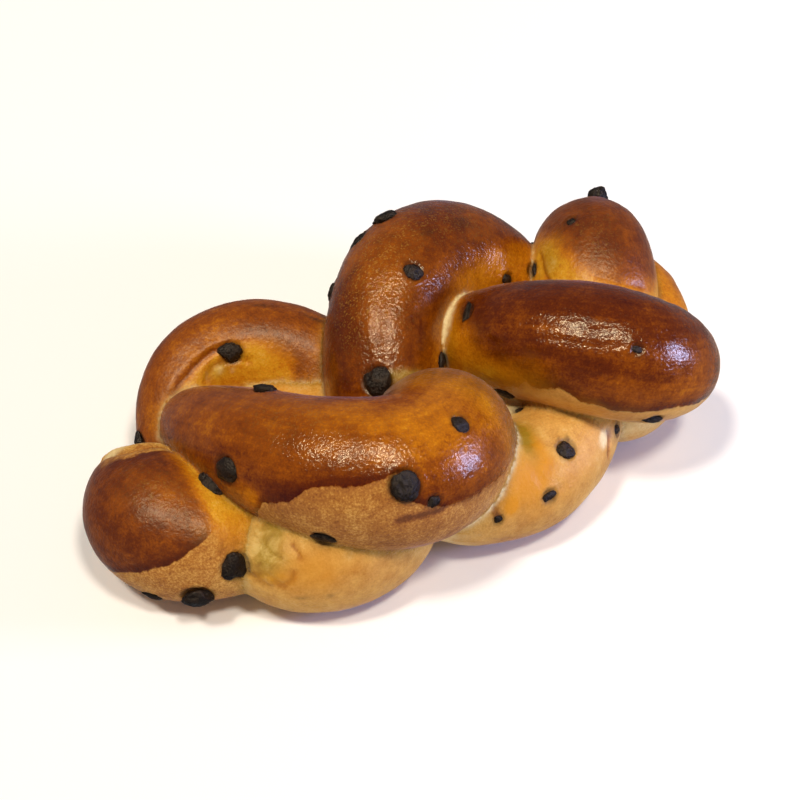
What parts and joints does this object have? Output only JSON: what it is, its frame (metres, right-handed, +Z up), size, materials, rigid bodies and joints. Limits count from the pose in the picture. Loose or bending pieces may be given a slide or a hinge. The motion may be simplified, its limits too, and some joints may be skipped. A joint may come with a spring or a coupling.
{
  "type": "braided loaf",
  "caption": "Free-standing three-strand braided sweet loaf with an egg-washed crust, chocolate chips and a flat underside.",
  "frame": {"origin": "centre of the flat underside's bounding box, on the surface the loaf lies on", "axes": "+X along the braid towards its pinched end, +Y across it to the back, +Z up"},
  "size_m": [0.2568, 0.138, 0.0776],
  "materials": {
    "crust": "egg-washed baked crust, mahogany brown on top to pale gold in the creases, with dark chocolate chips"
  },
  "bodies": {
    "root": {"loaf": "crust"}
  },
  "joints": []
}
